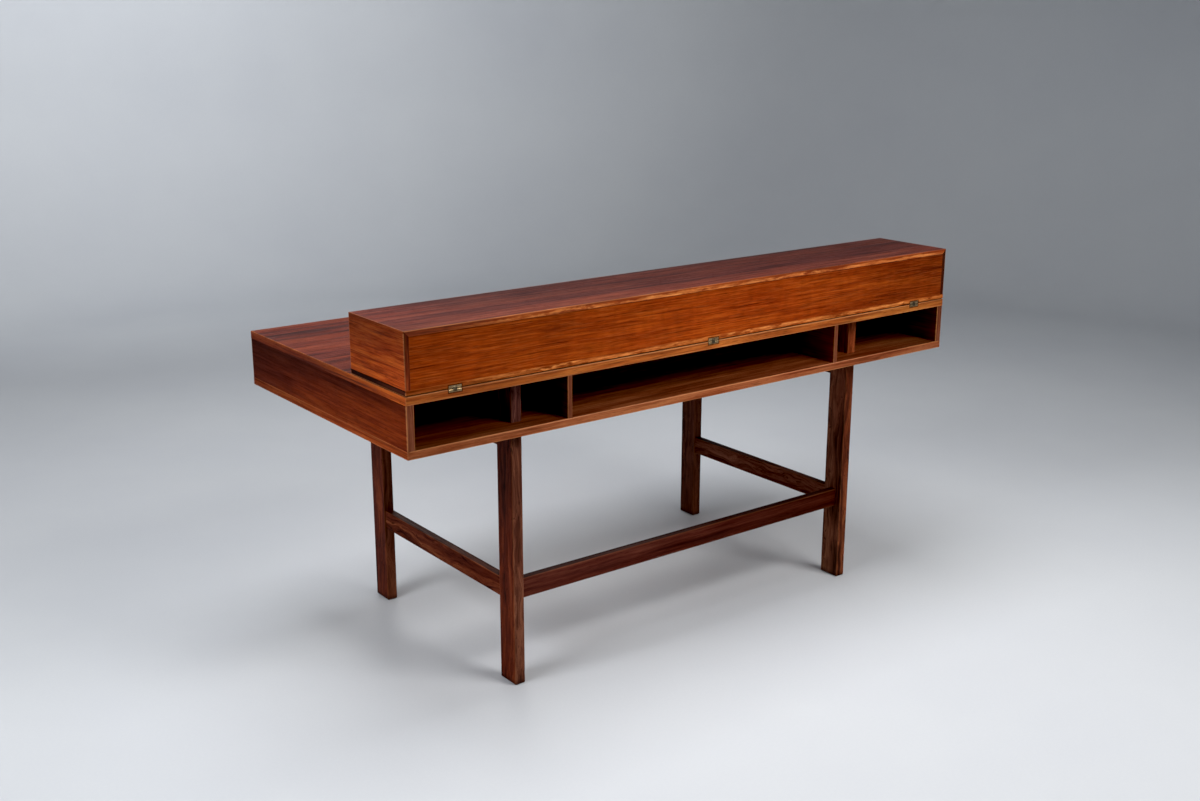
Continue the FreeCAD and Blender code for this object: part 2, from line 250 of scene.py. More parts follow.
def drawer_boards():
    """Every node of plain drawer wood, with its axes along, across and through the grain."""
    listed = {"drawer_runners": "YZX", "drawer_stops": "XYZ"}
    for number in range(1, DRAWERS + 1):
        listed[f"drawer_{number}_side_left"] = "YZX"
        listed[f"drawer_{number}_side_right"] = "YZX"
        listed[f"drawer_{number}_back"] = "XZY"
        listed[f"drawer_{number}_bottom"] = "XYZ"
    return listed


def kind_of(node):
    """A node's name without its side, because both sides of the desk share their marks."""
    return node.removesuffix("_left").removesuffix("_right")


# Sockets of a Mix node for each kind of data: first input, second input and output
MIX_SOCKETS = {"RGBA": (6, 7, 2), "VECTOR": (4, 5, 1)}


class Graph:
    """A material's node tree, written as nested calls. Each call returns the socket that it makes."""

    def __init__(self, name):
        self.material = bpy.data.materials.new(name)
        self.material.use_nodes = True
        self.tree = self.material.node_tree
        self.shader = self.tree.nodes["Principled BSDF"]

    def feed(self, socket, value):
        """Links a socket to another one, or sets its value. A colour is given without its alpha."""
        if isinstance(value, bpy.types.NodeSocket):
            self.tree.links.new(value, socket)
        elif socket.type == "RGBA":
            socket.default_value = (*value, 1.0)
        else:
            socket.default_value = value

    def node(self, kind, *values, **settings):
        made = self.tree.nodes.new("ShaderNode" + kind)
        for name, setting in settings.items():
            setattr(made, name, setting)
        for socket, value in zip(made.inputs, values):
            self.feed(socket, value)
        return made

    def finish(self, **sockets):
        """Feeds the shader's sockets, and returns the material."""
        for name, value in sockets.items():
            self.feed(self.shader.inputs[name.replace("_", " ")], value)
        return self.material

    def parts(self, vector):
        made = self.node("SeparateXYZ", vector)
        return dict(zip("XYZ", made.outputs))

    def joined(self, x, y, z):
        return self.node("CombineXYZ", x, y, z).outputs[0]

    def place(self):
        return self.node("TexCoord").outputs["Object"]

    def axes(self):
        """X, Y and Z of a point on the surface."""
        return self.parts(self.place())

    def normal(self):
        """X, Y and Z of the way that the surface faces."""
        return self.parts(self.node("TexCoord").outputs["Normal"])

    def calc(self, operation, *values):
        return self.node("Math", *values, operation=operation).outputs[0]

    def times(self, first, second):
        return self.calc("MULTIPLY", first, second)

    def minus(self, first, second):
        return self.calc("SUBTRACT", first, second)

    def size(self, value):
        return self.calc("ABSOLUTE", value)

    def away(self, value, centre):
        """How far a value lies from a centre."""
        return self.size(self.minus(value, centre))

    def vector(self, operation, *values):
        return self.node("VectorMath", *values, operation=operation).outputs[0]

    def noise(self, vector, noise, output="Fac"):
        made = self.node("TexNoise")
        self.feed(made.inputs["Vector"], self.vector("MULTIPLY", vector, noise.scale))
        self.feed(made.inputs["Scale"], 1.0)
        self.feed(made.inputs["Detail"], noise.detail)
        self.feed(made.inputs["Roughness"], noise.roughness)
        return made.outputs[output]

    def ease(self, value, low, high, start=0.0, end=1.0):
        """A smooth step from start to end, while a value goes from low to high."""
        made = self.node("MapRange", value, low, high, start, end, interpolation_type="SMOOTHSTEP")
        return made.outputs[0]

    def span(self, value, low, high, start, end):
        """A straight step from start to end, while a value goes from low to high."""
        return self.node("MapRange", value, low, high, start, end).outputs[0]

    def mix(self, factor, first, second, blend="MIX", kind="RGBA"):
        made = self.node("Mix", factor, data_type=kind, blend_type=blend)
        start, end, result = MIX_SOCKETS[kind]
        self.feed(made.inputs[start], first)
        self.feed(made.inputs[end], second)
        return made.outputs[result]

    def tint(self, colour, tint):
        return self.mix(1.0, colour, tint, "MULTIPLY")

    def fade(self, colour, fade):
        """A colour times a tint that changes along an axis."""
        where = self.ease(self.axes()[fade.axis], fade.start, fade.end)
        return self.tint(colour, self.mix(where, fade.first, fade.last))

    def ramp(self, factor, stops):
        made = self.node("ValToRGB", factor)
        elements = made.color_ramp.elements
        while len(elements) < len(stops):
            elements.new(0.5)
        for element, (position, colour) in zip(elements, stops):
            element.position = position
            element.color = (*colour, 1.0)
        return made.outputs[0]

    def bump(self, height, strength, depth):
        made = self.node("Bump")
        self.feed(made.inputs["Strength"], strength)
        self.feed(made.inputs["Distance"], depth)
        self.feed(made.inputs["Height"], height)
        return made.outputs[0]


def grey(value):
    return (value, value, value)


WHITE = grey(1.0)

# Grain: seeds, and slow bends and small curls that move it sideways
SEED_STEPS = (0.618, 0.414, 0.732)
SEED_SPAN = 4.0
EDGE_SHIFT = (1.7, 0.9, 2.3)
SQUARE_ON = 0.8
NOISE_MIDDLE = grey(0.5)
NOISE_RANGE = (0.3, 0.7)
BENDS = Noise((1.1, 3.0, 3.0), 1.0, 0.5)
CURLS = Noise((9.0, 22.0, 22.0), 1.5, 0.5)
SIDEWAYS = 4.0


def seed_shift(number):
    """A shift that puts each board in its own part of the figure."""
    return tuple(SEED_SPAN * (number * step % 1.0) for step in SEED_STEPS)


def facing(graph, axis):
    """1 on faces square to an axis, 0 on the others."""
    return graph.calc("GREATER_THAN", graph.size(graph.normal()[axis]), SQUARE_ON)


def grain_place(graph, order, number):
    """Places along, across and through the grain. A board's ends carry lippings, with grain across it."""
    place = graph.axes()
    along, across, through = (place[axis] for axis in order)
    shift = seed_shift(number)
    face = graph.vector("ADD", graph.joined(along, across, through), shift)
    lipping = graph.vector("ADD", graph.joined(across, through, along), shift)
    lipping = graph.vector("ADD", lipping, EDGE_SHIFT)
    return graph.mix(facing(graph, order[0]), face, lipping, kind="VECTOR")


def swayed(graph, grain, sway, curl):
    """The grain's place, moved sideways by slow bends and by small curls."""
    moved = grain
    for noise, reach in ((BENDS, sway), (CURLS, curl)):
        shift = graph.vector("SUBTRACT", graph.noise(grain, noise, "Color"), NOISE_MIDDLE)
        shift = graph.vector("MULTIPLY", shift, (0.0, SIDEWAYS * reach, SIDEWAYS * reach))
        moved = graph.vector("ADD", moved, shift)
    return moved


# Rosewood: its figure, sheen and relief
BAND_DASH = 0.5
BAND_DETAIL = 3.0
LINE_DASH = 3.5
LINE_ROUGHNESS = 0.60
PORES = Noise((45.0, 1500.0, 1500.0), 0.0)
PORE_RANGE = (0.60, 0.72)
RIPPLE_SHARE = 0.7
LINE_SHARE = 0.3
TONE_MIDDLE = 0.48
TONE_REACH = 0.12
SHEEN_SPREAD = 0.06
PORE_DULL = 0.15
LINE_HEIGHT = 0.5
PORE_HEIGHT = -1.0


def rosewood(node, board, number):
    """Oiled rosewood: bands, dark figure lines, streaks, pores and rubbed edges."""
    graph = Graph("rosewood_" + node)
    figure = board.figure
    straight = grain_place(graph, board.grain, number)
    grain = swayed(graph, straight, figure.sway, figure.curl)
    bands = graph.noise(grain, Noise((BAND_DASH, figure.band, figure.band), detail=BAND_DETAIL))
    ripples = graph.noise(grain, Noise((figure.dash, figure.ripple, figure.ripple)))
    lines = graph.noise(grain, Noise((LINE_DASH, figure.line, figure.line), roughness=LINE_ROUGHNESS))
    pores = graph.ease(graph.noise(grain, PORES), *PORE_RANGE)

    colour = ground(graph, board, bands, ripples, lines)
    if kind_of(node) in MARKS:
        colour = MARKS[kind_of(node)](graph, colour, node)
    colour = streaked(graph, colour, lines, figure.dark_lines)
    colour = inked(graph, colour, grain, bands, pores, figure.ink)
    colour = clouded(graph, colour, straight, figure.cloud)
    colour = flecked(graph, colour, straight, figure.fleck)
    colour = shimmering(graph, colour, straight, figure.shimmer)
    colour = rubbed_and_highlit(graph, colour, node, ripples, figure.wear_and_highlight)
    roughness = graph.span(ripples, *NOISE_RANGE, figure.rough + SHEEN_SPREAD, figure.rough - SHEEN_SPREAD)
    roughness = graph.calc("MULTIPLY_ADD", pores, PORE_DULL, roughness)
    # Painted shadow in the seam and round the hinges, which is also made rough
    if node in SEAM_BOARDS:
        seam = seam_shadow(graph, node)
        colour = graph.mix(graph.times(seam, SEAM_SHADOW_STRENGTH), colour, SEAM_SHADOW_COLOUR)
        roughness = graph.calc("MAXIMUM", roughness, seam)
    height = graph.calc("MULTIPLY_ADD", pores, PORE_HEIGHT, graph.times(lines, LINE_HEIGHT))
    return graph.finish(
        Base_Color=colour,
        Roughness=roughness,
        Specular_IOR_Level=figure.gloss,
        Normal=graph.bump(height, strength=0.20, depth=0.0004),
    )


def ground(graph, board, bands, ripples, lines):
    """A board's colours before its marks: the face tone on its faces, the edge tone on its edges."""
    share = board.figure.band_share
    shown = graph.times(bands, share)
    shown = graph.calc("MULTIPLY_ADD", ripples, RIPPLE_SHARE - share / 2, shown)
    shown = graph.calc("MULTIPLY_ADD", lines, LINE_SHARE - share / 2, shown)
    edge = toned(graph, shown, board.edge, board.figure.contrast)
    face = toned(graph, shown, board.face, board.figure.contrast)
    return graph.mix(facing(graph, board.grain[2]), edge, face)


def toned(graph, shown, tone, contrast):
    """Colours of a tone, from its dark lines to its light ground."""
    reach = TONE_REACH / contrast
    dark = (TONE_MIDDLE - reach, tone.dark)
    light = (TONE_MIDDLE + reach, tone.light)
    return graph.ramp(shown, (dark, (TONE_MIDDLE, tone.middle), light))


# Streaks, ink lines, clouds, flecks and shimmer of rosewood
STREAK_RANGE = (0.47, 0.36)
STREAK_TINT = (0.30, 0.22, 0.20)
INK_STEP = 0.045
INK_WIDTH = (0.014, 0.002)
INK_BREAKS = Noise((2.5, 40.0, 40.0))
INK_BREAK_RANGE = (0.42, 0.60)
PORE_INK = 0.45
CLOUDS = Noise((2.2, 11.0, 11.0), 3.0)
CLOUD_REDDENING = 1.8
FLECKS = Noise((20.0, 560.0, 560.0), 1.0, 0.5)
FLECK_RANGE = (0.54, 0.68)
FLECK = (0.43, 0.115, 0.024)
SHIMMER = Noise((42.0, 12.0, 12.0), 2.0, 0.5)


def streaked(graph, colour, lines, strength):
    """Fine dark lines along the grain."""
    dark = graph.times(graph.ease(lines, *STREAK_RANGE), strength)
    return graph.mix(dark, colour, graph.tint(colour, STREAK_TINT))


def inked(graph, colour, grain, bands, pores, strength):
    """Thin dark lines that follow the bands, broken here and there, and dark pores."""
    contour = graph.calc("PINGPONG", bands, INK_STEP)
    broken = graph.ease(graph.noise(grain, INK_BREAKS), *INK_BREAK_RANGE)
    ink = graph.times(graph.ease(contour, *INK_WIDTH), broken)
    ink = graph.times(ink, strength)
    ink = graph.calc("MAXIMUM", ink, graph.times(pores, PORE_INK))
    return graph.mix(ink, colour, HEART.dark)


def clouded(graph, colour, straight, strength):
    """Slow changes along a board: its darker stretches are redder too."""
    clouds = graph.noise(straight, CLOUDS)
    red = graph.span(clouds, *NOISE_RANGE, 1.0 - strength, 1.0 + strength)
    more = CLOUD_REDDENING * strength
    rest = graph.span(clouds, *NOISE_RANGE, 1.0 - more, 1.0 + more)
    return graph.tint(colour, graph.joined(red, rest, rest))


def flecked(graph, colour, straight, strength):
    """Short light flecks along the grain."""
    flecks = graph.ease(graph.noise(straight, FLECKS), *FLECK_RANGE)
    return graph.mix(graph.times(flecks, strength), colour, FLECK)


def shimmering(graph, colour, straight, strength):
    """Faint light and dark patches across the grain."""
    waves = graph.noise(straight, SHIMMER)
    light = graph.span(waves, *NOISE_RANGE, 1.0 - strength, 1.0 + strength)
    return graph.tint(colour, graph.joined(light, light, light))


# Abrasion and painted highlights along the arrises, which leave out the joints between boards and spare
# some ends
ARRIS_WIDTH = (0.0030, 0.0006)
WEAR_AND_HIGHLIGHT_STREAKS = (0.35, 0.65)
WEAR_AND_HIGHLIGHT_LEAST = 0.45
WORN_AND_HIGHLIT = (0.54, 0.21, 0.075)
JOINT_FADE = (0.0035, 0.0055)
JOINED_SIDES = {
    "desktop": ("low",),
    "flip_cover": ("low",),
    "flip_bottom": ("high",),
    "flip_end": ("low", "high", "inner"),
    "side_panel": ("low", "high"),
}
COVER_WEAR_AND_HIGHLIGHT_FROM = (-0.05, 0.20)
COVER_WEAR_AND_HIGHLIGHT_LEAST = 0.35
SPARED_FROM = (0.004, 0.008)
SPARED_ENDS = {"desktop": 0.40, "bottom_board": 0.30}


def rubbed_and_highlit(graph, colour, node, streaks, strength):
    """Lighter arrises: partly where hands and cloths have thinned the oil, partly a painted highlight along
    the edges.
    """
    arris_mark = graph.ease(edge_gap(graph, node), *ARRIS_WIDTH)
    arris_mark = graph.times(arris_mark, graph.span(streaks, *WEAR_AND_HIGHLIGHT_STREAKS, WEAR_AND_HIGHLIGHT_LEAST, 1.0))
    arris_mark = graph.times(arris_mark, open_edges(graph, node))
    return graph.mix(graph.times(arris_mark, strength), colour, WORN_AND_HIGHLIT)


def edge_gap(graph, node):
    """How far a point on a board's skin lies from the nearest edge: the middle one of its three gaps."""
    low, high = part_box(node)
    place = graph.axes()
    gaps = []
    for axis, centre, reach in zip("XYZ", (low + high) / 2, (high - low) / 2):
        gaps.append(graph.minus(reach, graph.away(place[axis], centre)))
    first, second, third = gaps
    near = graph.calc("MINIMUM", first, second)
    far = graph.calc("MAXIMUM", first, second)
    return graph.calc("MAXIMUM", near, graph.calc("MINIMUM", far, third))


def open_edges(graph, node):
    """How strong each arris's abrasion and painted highlight are: 0 where a board meets another one, 1
    where it is free.
    """
    low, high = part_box(node)
    place = graph.axes()
    outward = graph.size(place["X"])
    gaps = {
        "low": graph.minus(place["Z"], low.z),
        "high": graph.minus(high.z, place["Z"]),
        "inner": graph.minus(outward, min(abs(low.x), abs(high.x))),
    }
    shown = 1.0
    for side in JOINED_SIDES.get(kind_of(node), ()):
        shown = graph.times(shown, graph.ease(gaps[side], *JOINT_FADE))
    if node == "desktop":
        shown = graph.span(facing(graph, "X"), 0.0, 1.0, 1.0, shown)
    if node == "flip_cover":
        shown = graph.times(shown, graph.ease(place["X"], *COVER_WEAR_AND_HIGHLIGHT_FROM, COVER_WEAR_AND_HIGHLIGHT_LEAST, 1.0))
    if node in SPARED_ENDS:
        inward = graph.minus(high.x, outward)
        shown = graph.times(shown, graph.ease(inward, *SPARED_FROM, SPARED_ENDS[node], 1.0))
    return shown


def rim(graph, node, axis, start, full, strength=1.0):
    """A band under a board's highest face along an axis: it starts at one depth and is full at another."""
    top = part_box(node)[1]["XYZ".index(axis)]
    return graph.ease(graph.axes()[axis], top - start, top - full, 0.0, strength)


REAR_DEPTHS = (0.0012, 0.0006)


def rear_face(graph, node):
    """1 on the rear edge of a board, 0 elsewhere."""
    return rim(graph, node, "Y", *REAR_DEPTHS)


# Seam between the desktop and the flip-top: painted shadow along it and round the hinges
SEAM_BOARDS = ("desktop", "flip_bottom")
SEAM_WIDTH = (0.0030, 0.0020)
SEAM_DEPTHS = (0.004, 0.003)
SEAM_SHADOW_STRENGTH = 0.9
SEAM_SHADOW_COLOUR = (0.036, 0.007, 0.001)
HINGE_SHADOW_WIDTH = (0.0034, 0.0016)
HINGE_SHADOW_STRENGTH = 0.95


def hinge_centres():
    """X of the three hinges."""
    low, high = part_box("hinge_leaves_lower")
    return (low.x + HINGE_WIDTH / 2, (low.x + high.x) / 2, high.x - HINGE_WIDTH / 2)


def seam_shadow(graph, node):
    """1 where painted shadow goes: on the flip-top's edge at the seam and on the wood round the hinges; 0
    elsewhere.
    """
    seam = (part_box("desktop")[1].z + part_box("flip_bottom")[0].z) / 2
    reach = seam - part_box("hinge_leaves_lower")[0].z
    place = graph.axes()
    gap = graph.away(place["Z"], seam)
    line = graph.ease(gap, *SEAM_WIDTH) if node == "flip_bottom" else 0.0
    for centre in hinge_centres():
        beside = graph.minus(graph.away(place["X"], centre), HINGE_WIDTH / 2)
        outside = graph.calc("MAXIMUM", beside, graph.minus(gap, reach))
        hinge_shadow = graph.ease(outside, *HINGE_SHADOW_WIDTH, 0.0, HINGE_SHADOW_STRENGTH)
        line = graph.calc("MAXIMUM", line, hinge_shadow)
    line = graph.times(line, rim(graph, "desktop", "Y", *SEAM_DEPTHS))
    return graph.times(line, graph.minus(1.0, facing(graph, "Z")))


# Sapwood in the flip-top's rear edges
COVER_SAPWOOD = Sapwood(start=0.80, whole=0.30, lift=-0.0030, reach=0.0056)
UNDER_SAPWOOD = Sapwood(start=0.80, whole=0.40, lift=0.0015, reach=0.0075)
SAP_CORE = 0.0018
SAP_WAVE = Noise((6.0, 1.0, 1.0), 4.0, 0.65)
SAP_BREAKS = Noise((24.0, 90.0, 90.0), 3.0, 0.6)
SAP_BREAK_RANGE = (0.34, 0.50)
SAP_MOTTLE = Noise((22.0, 260.0, 260.0), 3.0, 0.6)
SAP_STOPS = (
    (0.34, (0.34, 0.075, 0.014)),
    (0.50, (0.56, 0.157, 0.034)),
    (0.66, (0.78, 0.270, 0.070)),
)


def with_sapwood(graph, colour, node, sapwood):
    """A broken, pale stripe of mottled tan that wanders along a board's rear edge."""
    low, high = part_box(node)
    place = graph.axes()
    wave = graph.noise(graph.joined(place["X"], 0.0, 0.0), SAP_WAVE)
    centre = graph.span(wave, *NOISE_RANGE, high.z + sapwood.lift, low.z + sapwood.lift)
    stripe = graph.ease(graph.away(place["Z"], centre), sapwood.reach, SAP_CORE)
    stripe = graph.times(stripe, graph.ease(graph.noise(graph.place(), SAP_BREAKS), *SAP_BREAK_RANGE))
    stripe = graph.times(stripe, graph.ease(place["X"], sapwood.start, sapwood.whole))
    stripe = graph.times(stripe, rear_face(graph, node))
    tan = graph.ramp(graph.noise(graph.place(), SAP_MOTTLE), SAP_STOPS)
    return graph.mix(stripe, colour, tan)


# Cover of the flip-top. Its right is the sitter's right, at +X
COVER_BODY = Fade("Y", 0.20, 0.36, grey(0.66), grey(1.05))
COVER_RIGHT = Fade("Y", 0.26, 0.36, grey(1.20), grey(0.85))
COVER_RIGHT_FROM = (0.58, 0.76)
COVER_LENGTH = Fade("X", -0.80, 0.80, grey(0.66), grey(0.88))
COVER_REAR = (0.84, 0.62, 0.42)
COVER_CORNER_FROM = (0.40, 0.76)
COVER_CORNER_STRENGTH = 0.45


def cover_marks(graph, colour, node):
    """A cover that darkens to the left and, but for its right end, to the front. Sapwood is at its rear."""
    across = graph.axes()["X"]
    body = graph.fade(colour, COVER_BODY)
    right = graph.fade(colour, COVER_RIGHT)
    top = graph.mix(graph.ease(across, *COVER_RIGHT_FROM), body, right)
    top = graph.fade(top, COVER_LENGTH)
    rear = rear_face(graph, node)
    colour = graph.mix(rear, top, graph.tint(colour, COVER_REAR))
    corner = graph.ease(across, *COVER_CORNER_FROM, 0.0, COVER_CORNER_STRENGTH)
    colour = graph.mix(graph.times(rear, corner), colour, REDDISH.dark)
    return with_sapwood(graph, colour, node, COVER_SAPWOOD)


# Underside board of the flip-top
UNDER_REAR = Fade("X", 0.70, 0.10, grey(0.95), grey(1.30))
UNDER_BROWN_FROM = (0.225, 0.330)
UNDER_LIP = (0.0040, 0.0020)


def underside_marks(graph, colour, node):
    """Sapwood in the rear edge, and end edges that are near black towards the sitter and turn brown towards
    the rear.
    """
    colour = graph.mix(rear_face(graph, node), colour, graph.fade(colour, UNDER_REAR))
    colour = with_sapwood(graph, colour, node, UNDER_SAPWOOD)
    low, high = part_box(node)
    place = graph.axes()
    core = graph.mix(graph.ease(place["Y"], *UNDER_BROWN_FROM), HEART.dark, DUSKY.middle)
    lip = graph.calc("MINIMUM", graph.minus(place["Z"], low.z), graph.minus(high.z, place["Z"]))
    core = graph.mix(graph.ease(lip, *UNDER_LIP), core, HEART.dark)
    return graph.mix(facing(graph, "X"), colour, core)


# Desktop and bottom board. A rear edge has a tint for its ends and one for its middle
TOP_DEPTH = Fade("Y", -0.30, 0.10, grey(0.86), grey(1.18))
TOP_ENDS = Fade("Y", -0.05, 0.36, (0.55, 0.36, 0.10), (1.65, 1.45, 0.45))
TOP_REAR = ((1.15, 1.45, 1.25), (1.65, 2.10, 1.85))
TOP_ARRIS_HIGHLIGHT = (0.64, 0.26, 0.090)
FLOOR_ENDS = Fade("Y", -0.30, 0.25, (0.55, 0.42, 0.42), (1.08, 0.95, 0.95))
FLOOR_REAR = ((0.81, 1.00, 1.80), (1.01, 1.25, 2.10))
FLOOR_ARRIS_HIGHLIGHT = (0.66, 0.28, 0.160)
FLOOR_RIGHT_SHADE = Fade("X", 0.30, 0.62, WHITE, grey(0.70))
FLOOR_LEFT_SHADE = Fade("X", -0.55, -0.78, WHITE, grey(0.55))
MIDDLE_REACH = (0.75, 0.15)
ARRIS_REACH = (0.85, 0.40)
ARRIS_DEPTHS = (0.0032, 0.0012)
ARRIS_STRENGTH = 0.60


def rear_edge(graph, colour, node, tints, light):
    """A rear edge that grows lighter from its ends to its middle, with a painted highlight along its top.
    """
    rear = rear_face(graph, node)
    sideways = graph.size(graph.axes()["X"])
    tint = graph.mix(graph.ease(sideways, *MIDDLE_REACH), *tints)
    colour = graph.mix(rear, colour, graph.tint(colour, tint))
    # Painted highlight along the top arris of the rear edge
    line = rim(graph, node, "Z", *ARRIS_DEPTHS, ARRIS_STRENGTH)
    line = graph.times(line, graph.ease(sideways, *ARRIS_REACH))
    return graph.mix(graph.times(line, rear), colour, light)


def top_marks(graph, colour, node):
    """A desktop that is lighter at the rear. Its end edges redden and darken towards the sitter."""
    colour = graph.mix(facing(graph, "Z"), colour, graph.fade(colour, TOP_DEPTH))
    colour = graph.mix(facing(graph, "X"), colour, graph.fade(colour, TOP_ENDS))
    return rear_edge(graph, colour, node, TOP_REAR, TOP_ARRIS_HIGHLIGHT)


def floor_marks(graph, colour, node):
    """A bottom board with a russet rear edge. Its ends darken to the front, and painted shade darkens its
    floor towards both ends.
    """
    colour = graph.mix(facing(graph, "X"), colour, graph.fade(colour, FLOOR_ENDS))
    colour = rear_edge(graph, colour, node, FLOOR_REAR, FLOOR_ARRIS_HIGHLIGHT)
    # Painted shade on the shelf floor towards both ends
    floor = graph.fade(graph.fade(colour, FLOOR_RIGHT_SHADE), FLOOR_LEFT_SHADE)
    return graph.mix(facing(graph, "Z"), colour, floor)


# Side panels: warmth follows a slanting line, which a noise bends
PANEL_SLANT = -3.2
PANEL_WANDER = Noise((1.0, 5.0, 9.0))
PANEL_WANDER_REACH = 0.35
PANEL_WARM_FROM = (-2.45, -1.65)
PANEL_STOPS = (
    (0.0, (0.56, 0.50, 0.48)),
    (0.5, (0.90, 0.80, 0.75)),
    (1.0, (1.72, 1.66, 1.00)),
)
PANEL_LOW = grey(1.03)
PANEL_HIGH = grey(0.72)
PANEL_FOOT = 0.045
PANEL_SHADOW_GAP_DEPTHS = (0.0028, 0.0012)
PANEL_SHADOW_GAP_STRENGTH = 0.75
PANEL_INSIDE_SHADE_FROM = (0.0080, 0.0088)
PANEL_INSIDE_SHADE = (0.40, 0.50, 0.60)


def panel_marks(graph, colour, node):
    """Darker towards the top and the front of a side panel, warmer and lighter low down at the rear.
    Painted shade darkens its inner face, and a painted shadow line runs under the desktop.
    """
    low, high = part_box(node)
    place = graph.axes()
    slant = graph.calc("MULTIPLY_ADD", place["Z"], PANEL_SLANT, place["Y"])
    wander = graph.noise(graph.place(), PANEL_WANDER)
    slant = graph.calc("MULTIPLY_ADD", wander, PANEL_WANDER_REACH, slant)
    warmth = graph.ramp(graph.ease(slant, *PANEL_WARM_FROM), PANEL_STOPS)
    height = Fade("Z", low.z + PANEL_FOOT, high.z, PANEL_LOW, PANEL_HIGH)
    shaded = graph.fade(graph.tint(colour, warmth), height)
    colour = graph.mix(facing(graph, "X"), colour, shaded)
    # Painted shadow line along the panel's top, under the desktop
    shadow_gap = rim(graph, node, "Z", *PANEL_SHADOW_GAP_DEPTHS, PANEL_SHADOW_GAP_STRENGTH)
    colour = graph.mix(shadow_gap, colour, UMBER.dark)
    # Painted shade on the panel's inner face, inside the desk
    inward = graph.minus(abs(low.x + high.x) / 2, graph.size(place["X"]))
    inside_shade = graph.ease(inward, *PANEL_INSIDE_SHADE_FROM)
    return graph.mix(inside_shade, colour, graph.tint(colour, PANEL_INSIDE_SHADE))


# Ends and back of the flip-top
END_HIGH = grey(0.62)
END_LOW = grey(1.42)
END_FRONT = grey(0.78)
END_REAR = grey(1.08)
BACK_MIDDLE = -0.05
BACK_GLOW_FROM = (0.55, 0.05)
BACK_GLOW = grey(1.25)
BACK_LEFT = Fade("X", -0.35, -0.80, WHITE, grey(0.70))
BACK_SHADE_DEPTH = 0.055
BACK_SHADE = grey(0.86)
UNDER_COVER_LINE_DEPTHS = (0.0022, 0.0010)
UNDER_COVER_LINE_STRENGTH = 0.65


def end_marks(graph, colour, node):
    """Ends of the flip-top: darker high up and towards the sitter."""
    low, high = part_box(node)
    colour = graph.fade(colour, Fade("Z", high.z, low.z, END_HIGH, END_LOW))
    return graph.fade(colour, Fade("Y", low.y, high.y, END_FRONT, END_REAR))


def back_marks(graph, colour, node):
    """Brighter in the middle of the flip-top's back, and a dark line under the cover."""
    sideways = graph.away(graph.axes()["X"], BACK_MIDDLE)
    glow = graph.mix(graph.ease(sideways, *BACK_GLOW_FROM), WHITE, BACK_GLOW)
    colour = graph.fade(graph.tint(colour, glow), BACK_LEFT)
    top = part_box(node)[1].z
    colour = graph.fade(colour, Fade("Z", top - BACK_SHADE_DEPTH, top, WHITE, BACK_SHADE))
    line = rim(graph, node, "Z", *UNDER_COVER_LINE_DEPTHS, UNDER_COVER_LINE_STRENGTH)
    return graph.mix(line, colour, HEART.dark)


# Legs and stretchers
POST_RISE = 0.010
POST_TINTS = {
    "leg_back_left": (1.90, 1.90, 1.75),
    "leg_back_right": (1.10, 1.25, 1.80),
}
FOOT_SHADOW_FROM = (0.016, 0.003)
FOOT_SHADOW_STRENGTH = 0.65
STRETCHER_TOP_SHADE = grey(0.38)
LONG_STRETCHER = Fade("X", -0.50, 0.45, (0.70, 0.74, 0.80), (1.38, 1.85, 2.25))
STRETCHER_TINTS = {
    "side_stretcher_left": (0.92, 1.06, 1.75),
    "side_stretcher_right": (1.25, 1.95, 3.00),
}


def leg_marks(graph, colour, node):
    """Legs with painted shadow at their feet. The posts in the shelf are lighter than the legs below them.
    """
    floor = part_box("bottom_board")[1].z
    height = graph.axes()["Z"]
    post = graph.tint(colour, POST_TINTS.get(node, WHITE))
    colour = graph.mix(graph.ease(height, floor - POST_RISE, floor), colour, post)
    # Painted contact shadow at the foot of each leg
    foot_shadow = graph.ease(height, *FOOT_SHADOW_FROM, 0.0, FOOT_SHADOW_STRENGTH)
    return graph.mix(foot_shadow, colour, HEART.dark)


def shaded_top(graph, colour):
    """A stretcher whose top gets painted shade, darker than its sides."""
    return graph.mix(facing(graph, "Z"), colour, graph.tint(colour, STRETCHER_TOP_SHADE))


def stretcher_marks(graph, colour, node):
    """Stretchers: the long one turns lighter towards the sitter's right, the side ones are browner, and all
    have painted shade on their tops.
    """
    if node in STRETCHER_TINTS:
        return shaded_top(graph, graph.tint(colour, STRETCHER_TINTS[node]))
    return shaded_top(graph, graph.fade(colour, LONG_STRETCHER))


MARKS = {
    "desktop": top_marks,
    "bottom_board": floor_marks,
    "flip_cover": cover_marks,
    "flip_bottom": underside_marks,
    "flip_back": back_marks,
    "flip_end": end_marks,
    "side_panel": panel_marks,
    "leg_back": leg_marks,
    "leg_front": leg_marks,
    "long_stretcher": stretcher_marks,
    "side_stretcher": stretcher_marks,
}

# Drawer wood
DRAWER_SWAY = 0.012
DRAWER_CURL = 0.002
DRAWER_BANDS = Noise((0.7, 45.0, 45.0), 3.0, 0.6)
DRAWER_BAND_SHARE = 0.55
DRAWER_STREAKS = Noise((5.0, 380.0, 380.0), 2.0, 0.6)
DRAWER_STREAK_SHARE = 0.45
DRAWER_STREAK_HEIGHT = 0.4
DRAWER_PORES = Noise((60.0, 1300.0, 1300.0), 0.0)
DRAWER_PORE_RANGE = (0.58, 0.70)
DRAWER_PORE_STRENGTH = 0.40
DRAWER_PORE = (0.130, 0.060, 0.024)
DRAWER_STOPS = (
    (0.36, (0.250, 0.125, 0.052)),
    (0.50, (0.400, 0.225, 0.105)),
    (0.64, (0.520, 0.330, 0.170)),
)
DRAWER_ROUGHNESS = (0.66, 0.54)


